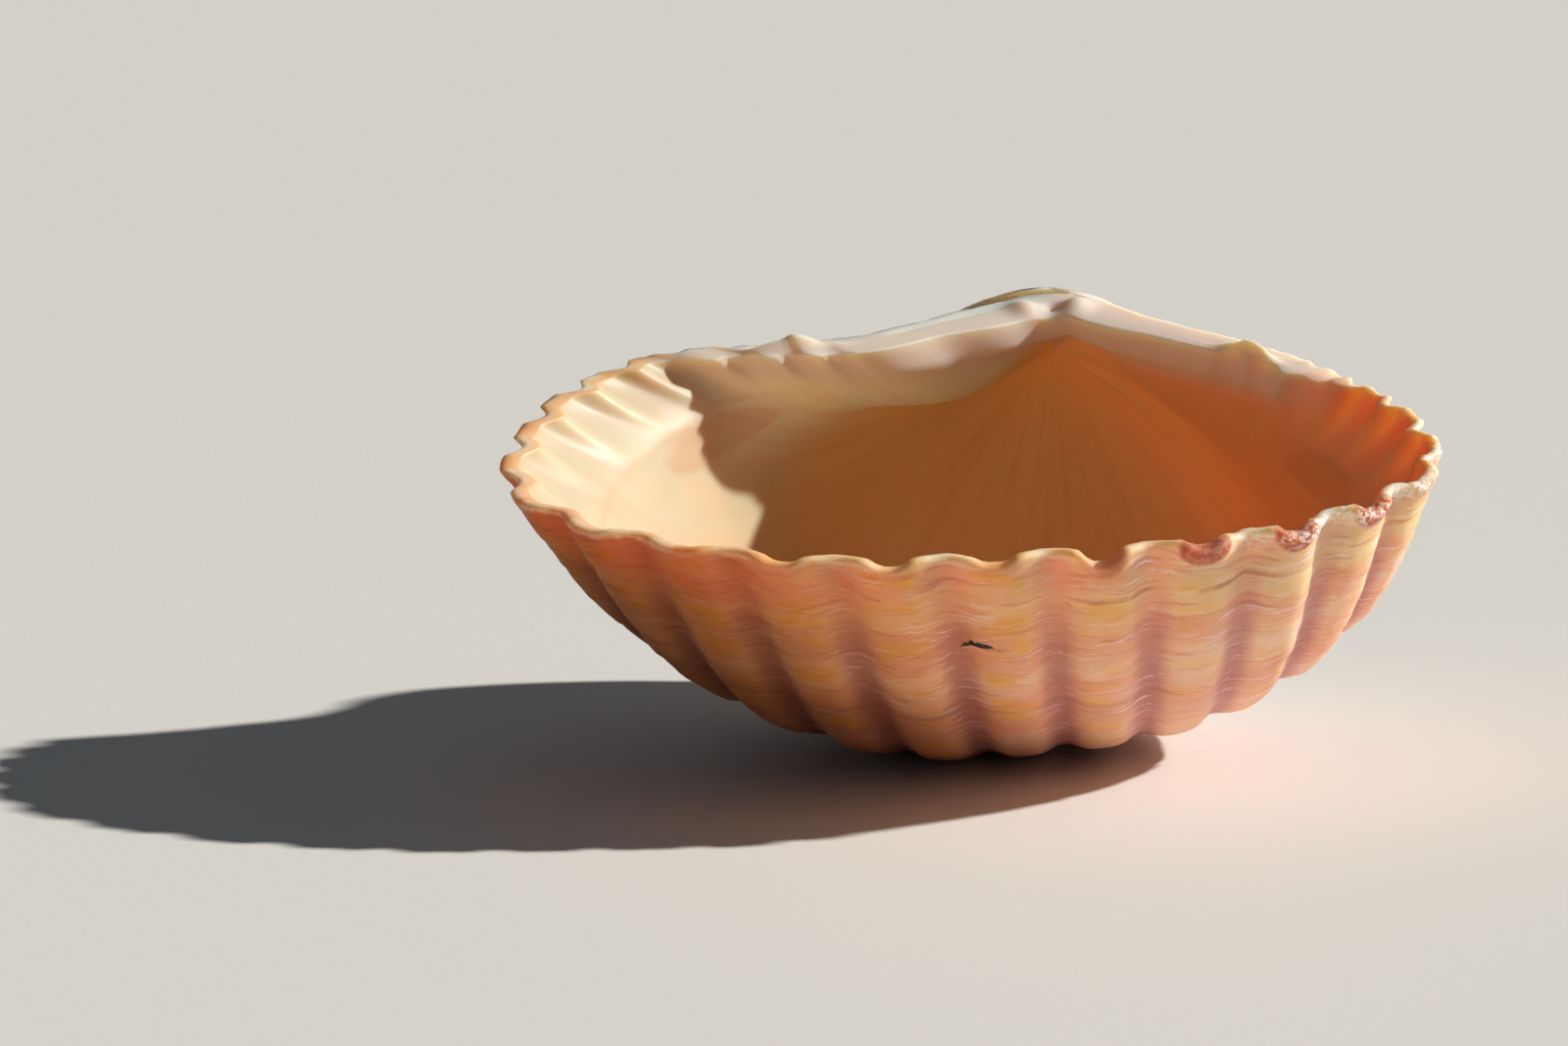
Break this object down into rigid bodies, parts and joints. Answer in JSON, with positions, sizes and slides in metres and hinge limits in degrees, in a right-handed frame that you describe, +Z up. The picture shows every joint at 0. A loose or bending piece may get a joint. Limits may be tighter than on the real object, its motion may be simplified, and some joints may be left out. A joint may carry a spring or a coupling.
{
  "type": "cockle shell",
  "caption": "One valve of a ribbed cockle shell, lying on its convex back with the hollow up.",
  "frame": {"origin": "bottom centre of the valve's box as it rests on its back", "axes": "+Z up out of the hollow, +X along the hinge towards the front end, +Y towards the beak"},
  "size_m": [0.0346, 0.0316, 0.0168],
  "materials": {
    "shell": "satin"
  },
  "bodies": {
    "root": {"valve": "shell"}
  },
  "joints": []
}
